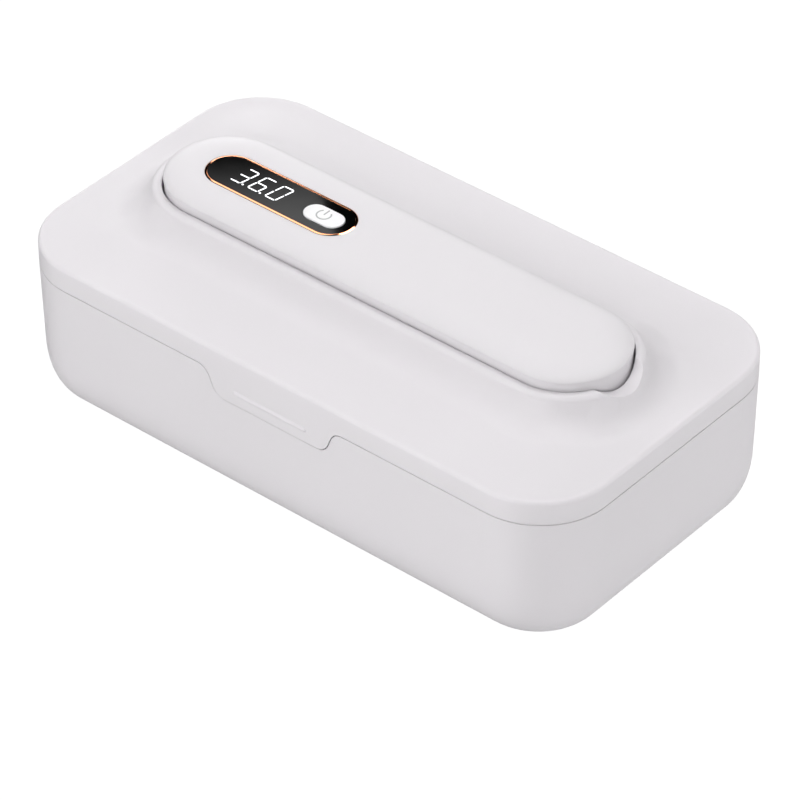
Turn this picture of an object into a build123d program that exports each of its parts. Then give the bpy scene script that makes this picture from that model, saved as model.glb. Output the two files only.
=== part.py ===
"""A sanitizer box for phones: a tray with a hinged lid, and an ultraviolet wand docked in the lid.

Millimetres. +X runs along the box, the front with its lid tab faces -Y, +Z is up, and the
origin is under the middle of the whole box, on the table.
"""

from build123d import *
from math import cos, radians, sin, tan
import os

os.makedirs("parts", exist_ok=True)

# ---------------------------------------------------------------- driving sizes
# The box as a whole
box_length = 225.0
box_width = 119.7
corner_radius = 25.7
seam_height = 48.7
seam_gap = 0.3

# Base shell
shell_wall = 2.4
shell_floor = 2.4
base_draft = 1.25
bottom_roll_height = 17.7
bottom_roll_reach = 8.0

# Rubber feet and the screws above them
foot_radius = 6.0
foot_gap = 0.1
foot_thickness = 1.2
foot_proud = 0.6
foot_spacing_x = 150.0
foot_spacing_y = 58.0
base_screw_radius = 1.25
base_screw_head_radius = 2.4
base_screw_head_height = 1.2
base_screw_length = 6.0
base_boss_radius = 4.0
shell_pad_height = 1.0

# Inner tray that the phone lies in
liner_gap = 0.2
liner_wall = 1.6
liner_top_drop = 3.6
liner_floor_height = 8.0
liner_roll_height = 11.0
liner_roll_reach = 8.0
phone_rib_count = 5
phone_rib_spacing = 34.0
phone_rib_width = 2.0
phone_rib_height = 1.6
phone_rib_length = 62.0

# Lid shell
lid_wall = 2.4
rim_side_height = 7.2
rim_edge_radius = 1.3
rim_flat = 3.0
rim_turn_reach = 5.0
shelf_slope = 5.5
shelf_reach = 24.0

# Front tab of the lid, seen from the front
tab_depth = 9.7
tab_top_half_width = 26.3
tab_bottom_half_width = 22.3
tab_corner_radius = 5.0
tab_thickness = 2.4
grip_half_length = 14.5
grip_height = 1.0
grip_proud = 0.35
grip_drop = 5.0

# Collar and recess that the wand docks in
recess_gap = 0.5
recess_wall = 1.8
recess_floor_rise = 8.6
collar_rise = 18.1
collar_crest_width = 1.1
collar_convex_reach = 2.4
collar_concave_reach = 11.0
collar_foot_rise = 8.2
collar_tail_radius = 6.0
collar_tail_turn = 50.0
collar_foot_fillet = 12.0
collar_cavity_shift = 1.0
scoop_radius = 16.0
scoop_start_inset = 12.0
scoop_floor_rise = 14.3
scoop_wall = 2.0
lamp_slot_border_x = 6.0
lamp_slot_border_y = 5.0

# Inner cover of the lid
cover_gap = 0.5
cover_wall = 1.6
cover_plate = 1.8
cover_lip_drop = 3.0
cover_rise = 5.8
cover_edge_chamfer = 1.2
bead_length = 14.0
bead_spacing = 90.0
bead_drop = 1.8
bead_radius = 0.6
bead_proud = 0.25
bead_groove_gap = 0.15
lid_screw_radius = 1.25
lid_screw_head_radius = 2.3
lid_screw_head_height = 1.1
lid_screw_length = 3.2
lid_boss_radius = 3.6
lid_screw_inset_x = 24.0
lid_screw_inset_y = 16.0

# Hinges on the back
knuckle_radius = 2.6
pin_radius = 1.0
pin_clearance = 0.05
knuckle_wall_gap = 0.3
knuckle_gap = 0.4
base_knuckle_length = 9.0
lid_knuckle_length = 15.0
hinge_spacing = 124.0
knuckle_web_height = 6.0
hinge_count = 2
knuckle_web_angle = 40.0

# Wand
wand_end_margin = 22.0
wand_width = 42.0
wand_bottom_rise = 8.8
wand_parting_rise = 20.8
wand_top_rise = 23.2
wand_dome_reach = 10.0
wand_wall = 1.8
wand_step = 0.3
wand_bottom_fillet = 1.2
wand_lip_height = 2.0
wand_lip_wall = 1.0
wand_lip_overlap = 1.2
catch_spacing = 70.0
catch_size = 4.0
catch_proud = 0.3
catch_rise = 13.2
catch_pocket_gap = 0.4
strap_notch_x = 60.0
strap_notch_radius = 1.6
strap_notch_depth = 1.2
fit_gap = 0.1

# Display and button in the wand's top
display_length = 59.6
display_width = 17.4
display_end_inset = 13.8
ring_width = 0.9
ring_proud = 0.1
ring_depth = 1.6
window_thickness = 1.5
window_sink = 0.05
display_pad_depth = 3.0
display_pad_margin = 1.5
display_ledge = 2.4
button_length = 15.0
button_width = 8.2
button_offset_x = 18.2
button_gap = 0.2
button_proud = 0.4
button_edge = 0.3
button_flange = 0.6
button_flange_thickness = 0.5
button_travel = 0.6
button_stem_radius = 1.5
module_length = 30.0
module_width = 12.2
module_offset_x = -7.0
module_corner = 0.5

# Electronics in the wand
board_end_gap = 0.8
board_length = 74.0
board_width = 19.0
board_thickness = 1.2
board_rise = 16.2
board_post_radius = 1.1
board_post_inset = 1.2
board_post_spacing = 54.0
switch_size = 6.0
switch_height = 1.6
switch_plunger_radius = 1.4
switch_plunger_height = 0.6
chip_size = 6.0
chip_height = 1.0
chip_spacing = 15.0
chip_count = 3
battery_board_gap = 16.9
battery_boss_gap = 4.6
battery_width = 30.0
battery_height = 5.4
battery_corner = 1.5
battery_clearance = 0.3
cradle_width = 1.6
cradle_spacing = 24.0
lamp_window_length = 124.0
lamp_window_width = 16.0
lamp_window_thickness = 1.0
lamp_window_sink = 0.2
lamp_ledge = 1.6
reflector_height = 2.0
reflector_wall = 1.0
reflector_inset = 1.0
reflector_width = 13.8
reflector_taper = 12.0
led_board_thickness = 1.0
led_count = 10
led_end_gap = 4.25
led_size = 3.5
led_height = 1.3
socket_length = 7.4
socket_width = 9.0
socket_height = 3.3
socket_wall = 0.35
socket_tongue_width = 6.3
socket_tongue_height = 0.7
socket_tongue_length = 6.3
wand_screw_radius = 1.1
wand_screw_head_radius = 2.0
wand_screw_head_height = 1.0
wand_screw_length = 8.0
wand_boss_radius = 2.4
wand_boss_meet_rise = 14.2
wand_screw_inset = 18.5
wand_screw_y = 13.0
screw_gap = 0.05
thread_end_gap = 0.3

# Cross recess of every screw, as shares of the head's radius and height
cross_length = 1.1
cross_width = 0.28
cross_depth = 0.55

# ---------------------------------------------------------------- worked-out places
half_length = box_length / 2
half_width = box_width / 2
hinge_reach = knuckle_radius + knuckle_wall_gap
hinge_y = half_width + hinge_reach
body_y = -(hinge_y + knuckle_radius - half_width - grip_proud) / 2
base_bottom = foot_proud
base_top = seam_height - seam_gap
liner_top = base_top - liner_top_drop
recess_floor = seam_height + recess_floor_rise
recess_underside = recess_floor - recess_wall
wand_half_width = wand_width / 2
wand_span = box_length / 2 - wand_end_margin - wand_half_width
recess_radius = wand_half_width + recess_gap
collar_top = seam_height + collar_rise
wand_bottom = seam_height + wand_bottom_rise
wand_parting = seam_height + wand_parting_rise
wand_top = seam_height + wand_top_rise
wand_floor = wand_bottom + wand_wall
wand_body_radius = wand_half_width - wand_step
wand_inner_radius = wand_body_radius - wand_wall
wand_end = wand_span + wand_half_width
cover_top = seam_height + cover_rise
cover_plate_bottom = cover_top - cover_plate
cover_inset = lid_wall + cover_gap
display_x = display_end_inset + display_length / 2 - wand_end
board_bottom = seam_height + board_rise
board_top = board_bottom + board_thickness
window_top = wand_top - window_sink
window_bottom = window_top - window_thickness
button_x = display_x + button_offset_x
led_board_bottom = wand_floor + reflector_height
battery_bottom = led_board_bottom + led_board_thickness + battery_clearance
board_x = board_length / 2 + board_end_gap - wand_span - wand_inner_radius
wand_screw_x = wand_end - wand_screw_inset
battery_start = board_x + board_length / 2 + battery_board_gap
battery_end = wand_screw_x - wand_boss_radius - battery_boss_gap
battery_length = battery_end - battery_start
battery_x = (battery_start + battery_end) / 2
boss_meet = seam_height + wand_boss_meet_rise
lamp_slot_length = lamp_window_length + 2 * lamp_slot_border_x
lamp_slot_width = lamp_window_width + 2 * lamp_slot_border_y
reflector_length = lamp_window_length - 2 * reflector_inset
led_reach = reflector_length - 2 * (reflector_wall + led_end_gap) - led_size
led_spacing = led_reach / (led_count - 1)
screw_places = [(x * wand_screw_x, y * wand_screw_y) for x in (-1, 1) for y in (-1, 1)]
foot_places = [(x * foot_spacing_x / 2, y * foot_spacing_y / 2) for x in (-1, 1) for y in (-1, 1)]
lid_screw_reach_x = half_length - lid_screw_inset_x
lid_screw_reach_y = half_width - lid_screw_inset_y
lid_screw_places = [
    (x * lid_screw_reach_x, y * lid_screw_reach_y) for x in (-1, 0, 1) for y in (-1, 1)
]
hinge_places = [hinge_spacing * (i / (hinge_count - 1) - 0.5) for i in range(hinge_count)]
base_knuckle_shift = (lid_knuckle_length + base_knuckle_length) / 2 + knuckle_gap
hinge_length = lid_knuckle_length + 2 * (knuckle_gap + base_knuckle_length)
overcut = 1.0
quarter_turn = 90
least_corner = 0.5


def level(height):
    """The horizontal plane at a height, over the middle of the box's body."""
    return Plane((0, body_y, height))


def section(x):
    """The upright plane across the box at x: its first axis runs to the back, its second up."""
    return Plane((x, body_y, 0), x_dir=(0, 1, 0), z_dir=(1, 0, 0))


def front(y):
    """The upright plane along the box at y, seen from the front: its second axis runs up."""
    return Plane((0, body_y + y, 0), x_dir=(1, 0, 0), z_dir=(0, -1, 0))


def outline_path(inset, height):
    """The box's rounded outline as a closed path that starts in the middle of the front."""
    side = half_length - inset
    depth = half_width - inset
    turn = corner_radius - inset
    with BuildLine() as path:
        edge = Line((0, -depth), (side - turn, -depth))
        for end in ((side, depth - turn), (turn - side, depth), (-side, turn - depth), (0, -depth)):
            corner = JernArc(edge @ 1, edge % 1, turn, quarter_turn)
            edge = Line(corner @ 1, end)
    return level(height) * path.wire()


def core_block(inset, low, high):
    """The plain block inside a swept rim."""
    with BuildPart() as block:
        with BuildSketch(level(low)):
            turn = max(corner_radius - inset, least_corner)
            RectangleRounded(box_length - 2 * inset, box_width - 2 * inset, turn)
        extrude(amount=high - low)
    return block.part


def tray_form(inset, low, high, roll_height, roll_reach):
    """A solid with drafted walls that roll in an ellipse into a flat bottom."""
    lean = tan(radians(base_draft))
    face_y = inset - half_width
    roll_y = face_y + lean * (high - low - roll_height)
    inner_y = roll_y + roll_reach + overcut
    path = outline_path(inset, high)
    with BuildPart() as form:
        with BuildSketch(section(0)):
            with BuildLine():
                wall = Line((face_y, high), (roll_y, low + roll_height))
                roll = EllipticalCenterArc(
                    (roll_y + roll_reach, low + roll_height),
                    roll_reach,
                    roll_height,
                    2 * quarter_turn,
                    arc_size=quarter_turn,
                )
                Polyline(roll @ 1, (inner_y, low), (inner_y, high), wall @ 0)
            make_face()
        sweep(path=path)
    core = core_block(half_width + inner_y - overcut / 2, low, high)
    return form.part + core


def lid_form(inset, drop):
    """The lid's solid outer form without its collar, or the same form drawn in by inset and drop."""
    face_y = inset - half_width
    side_top = seam_height + rim_side_height - drop
    turn_radius = rim_turn_reach / sin(radians(shelf_slope))
    shelf_length = (shelf_reach - rim_edge_radius - rim_flat - rim_turn_reach) / cos(radians(shelf_slope))
    path = outline_path(inset, seam_height)
    with BuildPart() as form:
        with BuildSketch(section(0)):
            with BuildLine():
                side = Line((face_y, seam_height), (face_y, side_top))
                edge = JernArc(side @ 1, (0, 1), rim_edge_radius, -quarter_turn)
                flat = Line(edge @ 1, (rim_edge_radius + rim_flat - half_width, (edge @ 1).Y))
                turn = JernArc(flat @ 1, (1, 0), turn_radius, shelf_slope)
                shelf = PolarLine(turn @ 1, shelf_length, shelf_slope)
                top = (shelf @ 1).Y
                inner_y = (shelf @ 1).X + overcut
                Polyline(shelf @ 1, (inner_y, top), (inner_y, seam_height), side @ 0)
            make_face()
        sweep(path=path)
    core = core_block(half_width + inner_y - overcut / 2, seam_height, top)
    return form.part + core


def stadium_block(radius, low, high, span=None):
    """A block with round ends, in line with the wand."""
    reach = wand_span if span is None else span
    with BuildPart() as block:
        with BuildSketch(level(low)):
            SlotCenterToCenter(2 * reach, 2 * radius)
        extrude(amount=high - low)
    return block.part


def around_wand(face):
    """Carries half a cross-section round the wand's outline: straight sides and turned ends."""
    with BuildPart() as ring:
        with BuildSketch(section(-wand_span)):
            add(face)
            mirror(about=Plane.YZ)
        extrude(amount=2 * wand_span)
        for end in (-1, 1):
            with BuildSketch(section(end * wand_span)):
                add(face)
            revolve(axis=Axis((end * wand_span, body_y, 0), (0, 0, 1)), revolution_arc=-180 * end)
    return ring.part


def collar_form(shift, drop):
    """The collar's solid ring: a crest at the recess that sweeps down into the lid's shelf."""
    crest = recess_radius + collar_crest_width - shift
    top = collar_top - drop
    fall = top - (seam_height + collar_foot_rise - drop)
    turn = 2 * degrees_of(fall / (collar_convex_reach + collar_concave_reach))
    convex_radius = collar_convex_reach / sin(radians(turn))
    concave_radius = collar_concave_reach / sin(radians(turn))
    inner = recess_radius - overcut
    with BuildSketch() as half:
        with BuildLine():
            lip = Line((inner, top), (crest, top))
            convex = JernArc(lip @ 1, (1, 0), convex_radius, -turn)
            concave = JernArc(convex @ 1, convex % 1, concave_radius, turn)
            tail = JernArc(concave @ 1, (1, 0), collar_tail_radius, -collar_tail_turn)
            Polyline(tail @ 1, ((tail @ 1).X, seam_height), (inner, seam_height), lip @ 0)
        make_face()
    return around_wand(half.sketch)


def degrees_of(slope):
    """The angle whose tangent is slope, in degrees."""
    return Vector(1, 0, 0).get_angle(Vector(1, slope, 0))


def tab_outline(gap):
    """The front view of the lid's tab, grown by gap for the notch that it closes."""
    shoulder = tab_top_half_width + 2 * tab_corner_radius
    tip = seam_height - tab_depth
    ceiling = seam_height + overcut
    with BuildSketch() as outline:
        with BuildLine():
            edge = FilletPolyline(
                (-shoulder, seam_height),
                (-tab_top_half_width, seam_height),
                (-tab_bottom_half_width, tip),
                (tab_bottom_half_width, tip),
                (tab_top_half_width, seam_height),
                (shoulder, seam_height),
                radius=tab_corner_radius,
            )
            Polyline(edge @ 1, (shoulder, ceiling), (-shoulder, ceiling), edge @ 0)
        make_face()
        if gap:
            offset(amount=gap)
    return outline.sketch


def knuckle(middle_x, length, rim, web_height):
    """One hinge barrel with the web that joins it to a wall; web_height is negative for the base."""
    side = 1 if web_height > 0 else -1
    wall_y = half_width - lid_wall / 2
    touch = Vector(knuckle_radius, 0).rotate(Axis.Z, knuckle_web_angle)
    with BuildPart() as barrel:
        with BuildSketch(section(middle_x - length / 2)):
            with Locations((hinge_y, seam_height)):
                Circle(knuckle_radius)
            with BuildLine():
                Polyline(
                    (wall_y, rim),
                    (hinge_y, rim),
                    (hinge_y + touch.X, seam_height + side * touch.Y),
                    (wall_y, seam_height + web_height),
                    close=True,
                )
            make_face()
        extrude(amount=length)
    return barrel.part


def pin_rod(middle_x, radius, length):
    """A round rod on the hinge's axis."""
    with BuildPart() as rod:
        with BuildSketch(section(middle_x - length / 2)):
            with Locations((hinge_y, seam_height)):
                Circle(radius)
        extrude(amount=length)
    return rod.part


def dome_form(inset):
    """The wand cover's crowned form, or the same form drawn in by inset."""
    radius = wand_half_width - inset
    reach = wand_dome_reach - inset
    crown = wand_top - inset
    with BuildSketch() as half:
        with BuildLine():
            EllipticalCenterArc(
                (radius - reach, wand_parting), reach, crown - wand_parting, 0, arc_size=quarter_turn
            )
            Polyline((radius, wand_parting), (0, wand_parting), (0, crown), (radius - reach, crown))
        make_face()
    return around_wand(half.sketch)


def screw(head_radius, head_height, shank_radius, shank_length):
    """A pan-head screw standing head down on its plane, with a cross recess."""
    with BuildPart() as body:
        with BuildSketch():
            Circle(head_radius)
        extrude(amount=head_height)
        with BuildSketch(Plane.XY.offset(head_height)):
            Circle(shank_radius)
        extrude(amount=shank_length)
        with BuildSketch():
            Rectangle(cross_length * head_radius, cross_width * head_radius)
            Rectangle(cross_width * head_radius, cross_length * head_radius)
        extrude(amount=cross_depth * head_height, mode=Mode.SUBTRACT)
    return body.part


def save(part, name):
    """Labels a finished piece and writes its STEP file."""
    part.label = name
    export_step(part, f"parts/{name}.step")


# ================================================================ base
# ---------------------------------------------------------------- base_shell
with BuildPart() as base_shell:
    add(tray_form(0, base_bottom, base_top, bottom_roll_height, bottom_roll_reach))
    add(
        tray_form(
            shell_wall,
            base_bottom + shell_floor,
            base_top,
            bottom_roll_height - shell_floor,
            bottom_roll_reach - shell_wall,
        ),
        mode=Mode.SUBTRACT,
    )
    for x in hinge_places:
        for shift in (-base_knuckle_shift, base_knuckle_shift):
            add(knuckle(x + shift, base_knuckle_length, base_top, -knuckle_web_height))
        add(pin_rod(x, pin_radius + pin_clearance, hinge_length + 2 * overcut), mode=Mode.SUBTRACT)
    with BuildSketch(level(base_bottom + shell_floor)):
        with Locations(*foot_places):
            Circle(base_boss_radius)
    extrude(amount=shell_pad_height)
    with BuildSketch(level(base_bottom)):
        with Locations(*foot_places):
            Circle(foot_radius + foot_gap)
    extrude(amount=foot_thickness - foot_proud, mode=Mode.SUBTRACT)
    with BuildSketch(level(base_bottom)):
        with Locations(*foot_places):
            Circle(base_screw_head_radius + foot_gap)
    extrude(amount=foot_thickness - foot_proud + base_screw_head_height, mode=Mode.SUBTRACT)
    with BuildSketch(level(base_bottom)):
        with Locations(*foot_places):
            Circle(base_screw_radius + screw_gap)
    extrude(amount=liner_floor_height, mode=Mode.SUBTRACT)
    with BuildSketch(front(-half_width - overcut)):
        add(tab_outline(seam_gap))
    extrude(amount=-(overcut + shell_wall + overcut), mode=Mode.SUBTRACT)
    for side in (-1, 1):
        with BuildSketch(section(side * bead_spacing / 2 - bead_length / 2 - bead_groove_gap)):
            with Locations((cover_inset + bead_radius - bead_proud - half_width, seam_height - bead_drop)):
                Circle(bead_radius + bead_groove_gap)
        extrude(amount=bead_length + 2 * bead_groove_gap, mode=Mode.SUBTRACT)
save(base_shell.part, "base_shell")

# ---------------------------------------------------------------- base_liner
liner_inset = shell_wall + liner_gap
with BuildPart() as base_liner:
    add(tray_form(liner_inset, liner_floor_height, liner_top, liner_roll_height, liner_roll_reach))
    add(
        tray_form(
            liner_inset + liner_wall,
            liner_floor_height + liner_wall,
            liner_top,
            liner_roll_height - liner_wall,
            liner_roll_reach - liner_wall,
        ),
        mode=Mode.SUBTRACT,
    )
    with BuildSketch(level(liner_floor_height + liner_wall)):
        with GridLocations(phone_rib_spacing, 0, phone_rib_count, 1):
            SlotCenterToCenter(phone_rib_length, phone_rib_width, rotation=90)
    extrude(amount=phone_rib_height)
    with BuildSketch(level(base_bottom + shell_floor + shell_pad_height)):
        with Locations(*foot_places):
            Circle(base_boss_radius)
    extrude(until=Until.NEXT)
    with BuildSketch(level(base_bottom + shell_floor + shell_pad_height)):
        with Locations(*foot_places):
            Circle(base_screw_radius + screw_gap)
    extrude(amount=base_screw_length - shell_floor, mode=Mode.SUBTRACT)
    with BuildSketch(front(-half_width - overcut)):
        add(tab_outline(seam_gap))
    extrude(amount=-(overcut + liner_inset + liner_roll_reach), mode=Mode.SUBTRACT)
save(base_liner.part, "base_liner")

# ---------------------------------------------------------------- rubber_feet
with BuildPart() as rubber_feet:
    with BuildSketch(level(0)):
        with Locations(*foot_places):
            Circle(foot_radius)
    extrude(amount=foot_thickness)
    fillet(rubber_feet.edges().group_by(Axis.Z)[0], foot_proud / 2)
save(rubber_feet.part, "rubber_feet")

# ---------------------------------------------------------------- base_screws
base_shank = base_screw_length - base_screw_head_height
base_screw = screw(base_screw_head_radius, base_screw_head_height, base_screw_radius, base_shank)
with BuildPart(level(foot_thickness)) as base_screws:
    with Locations(*foot_places):
        add(base_screw)
save(base_screws.part, "base_screws")

# ---------------------------------------------------------------- hinge_pins
with BuildPart() as hinge_pins:
    for x in hinge_places:
        add(pin_rod(x, pin_radius, hinge_length))
    chamfer(hinge_pins.edges().filter_by(GeomType.CIRCLE), pin_radius / 5)
save(hinge_pins.part, "hinge_pins")

# ================================================================ lid
# ---------------------------------------------------------------- lid_shell
scoop_start = wand_end - scoop_start_inset
scoop_axis = seam_height + scoop_floor_rise + scoop_radius
with BuildPart() as lid_cavity:
    add(lid_form(lid_wall, lid_wall))
    add(collar_form(collar_cavity_shift, lid_wall))
    add(stadium_block(recess_radius + recess_wall, recess_underside, wand_top), mode=Mode.SUBTRACT)
    with BuildSketch(section(scoop_start)):
        with Locations((0, scoop_axis)):
            Circle(scoop_radius + scoop_wall)
    extrude(amount=half_length - scoop_start, mode=Mode.SUBTRACT)
    with BuildSketch(level(cover_top)):
        with Locations(*lid_screw_places):
            Circle(lid_boss_radius)
    extrude(amount=rim_side_height, mode=Mode.SUBTRACT)

lid_dish = lid_form(0, 0)
lid_collar = collar_form(0, 0)
lid_outside = lid_dish + lid_collar
foot_edges = [
    edge
    for edge in new_edges(lid_dish, lid_collar, combined=lid_outside)
    if abs(edge.center().Y - body_y) > recess_radius or edge.center().X ** 2 > wand_end**2
]
with BuildPart() as lid_shell:
    add(lid_outside.fillet(collar_foot_fillet, foot_edges))
    add(lid_cavity.part, mode=Mode.SUBTRACT)
    add(stadium_block(recess_radius, recess_floor, wand_top), mode=Mode.SUBTRACT)
    with BuildSketch(front(-half_width)):
        add(tab_outline(0))
    extrude(amount=-tab_thickness)
    with BuildSketch(front(-half_width + grip_proud)):
        with Locations((0, seam_height - grip_drop)):
            SlotOverall(2 * grip_half_length, grip_height)
    extrude(amount=2 * grip_proud)
    with BuildSketch(section(scoop_start)):
        with Locations((0, scoop_axis)):
            Circle(scoop_radius)
    extrude(amount=half_length - scoop_start, mode=Mode.SUBTRACT)
    with BuildSketch(level(recess_underside)):
        SlotOverall(lamp_slot_length, lamp_slot_width)
    extrude(amount=recess_wall, mode=Mode.SUBTRACT)
    with BuildSketch(level(cover_top)):
        with Locations(*lid_screw_places):
            Circle(lid_screw_radius + screw_gap)
    extrude(amount=lid_screw_length - cover_plate + lid_screw_head_height, mode=Mode.SUBTRACT)
    for x in (-catch_spacing / 2, catch_spacing / 2):
        with BuildSketch(front(-recess_radius - catch_proud)):
            with Locations((x, seam_height + catch_rise)):
                Rectangle(catch_size + 2 * catch_pocket_gap, catch_size + 2 * catch_pocket_gap)
        extrude(amount=-2 * (recess_radius + catch_proud), mode=Mode.SUBTRACT)
    for x in hinge_places:
        add(knuckle(x, lid_knuckle_length, seam_height, knuckle_web_height))
        add(pin_rod(x, pin_radius + pin_clearance, hinge_length), mode=Mode.SUBTRACT)
save(lid_shell.part, "lid_shell")

# ---------------------------------------------------------------- lid_inner_cover
with BuildPart() as lid_inner_cover:
    add(core_block(cover_inset, seam_height - cover_lip_drop, cover_top))
    chamfer(lid_inner_cover.edges().group_by(Axis.Z)[-1], cover_edge_chamfer)
    add(
        core_block(cover_inset + cover_wall, seam_height - cover_lip_drop, cover_plate_bottom),
        mode=Mode.SUBTRACT,
    )
    with BuildSketch(level(cover_plate_bottom)):
        SlotOverall(lamp_slot_length, lamp_slot_width)
    extrude(amount=cover_plate, mode=Mode.SUBTRACT)
    with BuildSketch(level(cover_plate_bottom)):
        with Locations(*lid_screw_places):
            Circle(lid_screw_head_radius + fit_gap)
    extrude(amount=lid_screw_head_height, mode=Mode.SUBTRACT)
    with BuildSketch(level(cover_plate_bottom)):
        with Locations(*lid_screw_places):
            Circle(lid_screw_radius + screw_gap)
    extrude(amount=cover_plate, mode=Mode.SUBTRACT)
    for side in (-1, 1):
        with BuildSketch(section(side * bead_spacing / 2 - bead_length / 2)):
            with Locations((cover_inset + bead_radius - bead_proud - half_width, seam_height - bead_drop)):
                Circle(bead_radius)
        extrude(amount=bead_length)
save(lid_inner_cover.part, "lid_inner_cover")

# ---------------------------------------------------------------- lid_screws
lid_screw = screw(lid_screw_head_radius, lid_screw_head_height, lid_screw_radius, lid_screw_length)
with BuildPart(level(cover_plate_bottom)) as lid_screws:
    with Locations(*lid_screw_places):
        add(lid_screw)
save(lid_screws.part, "lid_screws")

# ================================================================ wand
# ---------------------------------------------------------------- wand_body
cradle_height = battery_bottom - wand_floor
with BuildPart() as wand_body:
    add(stadium_block(wand_body_radius, wand_bottom, wand_parting))
    fillet(wand_body.edges().group_by(Axis.Z)[0], wand_bottom_fillet)
    add(stadium_block(wand_inner_radius, wand_floor, wand_parting), mode=Mode.SUBTRACT)
    with BuildSketch(level(wand_bottom)):
        SlotOverall(lamp_window_length + 2 * fit_gap, lamp_window_width + 2 * fit_gap)
    extrude(amount=lamp_window_sink + lamp_window_thickness, mode=Mode.SUBTRACT)
    with BuildSketch(level(wand_bottom)):
        SlotOverall(lamp_window_length - 2 * lamp_ledge, lamp_window_width - 2 * lamp_ledge)
    extrude(amount=wand_wall, mode=Mode.SUBTRACT)
    with BuildSketch(level(wand_floor)):
        with Locations((board_x, 0)):
            with GridLocations(board_post_spacing, board_width - 2 * board_post_inset, 2, 2):
                Circle(board_post_radius)
    extrude(amount=board_bottom - wand_floor)
    with BuildSketch(level(wand_floor)):
        with Locations((battery_x, 0)):
            with GridLocations(0, cradle_spacing, 1, 2):
                Rectangle(battery_length, cradle_width)
    extrude(amount=cradle_height)
    with BuildSketch(level(wand_floor)):
        with Locations(*screw_places):
            Circle(wand_boss_radius)
    extrude(amount=boss_meet - wand_floor)
    with BuildSketch(level(wand_bottom)):
        with Locations(*screw_places):
            Circle(wand_screw_head_radius + fit_gap)
    extrude(amount=wand_screw_head_height, mode=Mode.SUBTRACT)
    with BuildSketch(level(wand_bottom)):
        with Locations(*screw_places):
            Circle(wand_screw_radius + screw_gap)
    extrude(amount=boss_meet - wand_bottom, mode=Mode.SUBTRACT)
    for x in (-catch_spacing / 2, catch_spacing / 2):
        for side in (-1, 1):
            catch_y = side * wand_body_radius
            with BuildSketch(front(catch_y)):
                with Locations((x, seam_height + catch_rise)):
                    Rectangle(catch_size, catch_size)
            extrude(amount=-side * catch_proud)
    with BuildSketch(front(-wand_body_radius)):
        with Locations((strap_notch_x, wand_bottom)):
            Circle(strap_notch_radius)
    extrude(amount=-strap_notch_depth, mode=Mode.SUBTRACT)
    with BuildSketch(section(-wand_end)):
        with Locations((0, board_bottom - socket_height / 2)):
            SlotOverall(socket_width + 2 * fit_gap, socket_height + 2 * fit_gap)
    extrude(amount=socket_length, mode=Mode.SUBTRACT)
save(wand_body.part, "wand_body")

# ---------------------------------------------------------------- wand_cover
display_pad_bottom = wand_top - display_pad_depth
screw_tip = wand_bottom + wand_screw_head_height + wand_screw_length
with BuildPart() as wand_cover:
    add(dome_form(0))
    add(dome_form(wand_wall), mode=Mode.SUBTRACT)
    lip_radius = wand_inner_radius - fit_gap
    with BuildSketch(level(wand_parting - wand_lip_height)):
        SlotCenterToCenter(2 * wand_span, 2 * lip_radius)
        SlotCenterToCenter(2 * wand_span, 2 * (lip_radius - wand_lip_wall), mode=Mode.SUBTRACT)
    extrude(amount=wand_lip_height + wand_lip_overlap)
    with BuildSketch(level(display_pad_bottom)):
        with Locations((display_x, 0)):
            SlotOverall(display_length + 2 * display_pad_margin, display_width + 2 * display_pad_margin)
    extrude(amount=display_pad_depth - wand_wall / 2)
    with BuildSketch(level(wand_top - ring_depth)):
        with Locations((display_x, 0)):
            SlotOverall(display_length, display_width)
    extrude(amount=ring_depth, mode=Mode.SUBTRACT)
    with BuildSketch(level(display_pad_bottom)):
        with Locations((display_x, 0)):
            SlotOverall(display_length - 2 * display_ledge, display_width - 2 * display_ledge)
    extrude(amount=display_pad_depth, mode=Mode.SUBTRACT)
    with BuildSketch(level(boss_meet)):
        with Locations(*screw_places):
            Circle(wand_boss_radius)
    extrude(amount=wand_top - wand_wall / 2 - boss_meet)
    with BuildSketch(level(boss_meet)):
        with Locations(*screw_places):
            Circle(wand_screw_radius + screw_gap)
    extrude(amount=screw_tip + thread_end_gap - boss_meet, mode=Mode.SUBTRACT)
save(wand_cover.part, "wand_cover")

# ---------------------------------------------------------------- display_ring
with BuildPart() as display_ring:
    with BuildSketch(level(wand_top - ring_depth)):
        with Locations((display_x, 0)):
            SlotOverall(display_length - 2 * screw_gap, display_width - 2 * screw_gap)
            SlotOverall(
                display_length - 2 * ring_width, display_width - 2 * ring_width, mode=Mode.SUBTRACT
            )
    extrude(amount=ring_depth + ring_proud)
save(display_ring.part, "display_ring")

# ---------------------------------------------------------------- display_window
window_border = ring_width + screw_gap
with BuildPart() as display_window:
    with BuildSketch(level(window_bottom)):
        with Locations((display_x, 0)):
            SlotOverall(display_length - 2 * window_border, display_width - 2 * window_border)
        with Locations((button_x, 0)):
            SlotOverall(button_length + 2 * button_gap, button_width + 2 * button_gap, mode=Mode.SUBTRACT)
    extrude(amount=window_thickness)
save(display_window.part, "display_window")

# ---------------------------------------------------------------- display_module
with BuildPart() as display_module:
    with BuildSketch(level(board_top)):
        with Locations((display_x + module_offset_x, 0)):
            Rectangle(module_length, module_width)
    extrude(amount=window_bottom - fit_gap - board_top)
    fillet(display_module.edges().filter_by(Axis.Z), module_corner)
save(display_module.part, "display_module")

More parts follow.
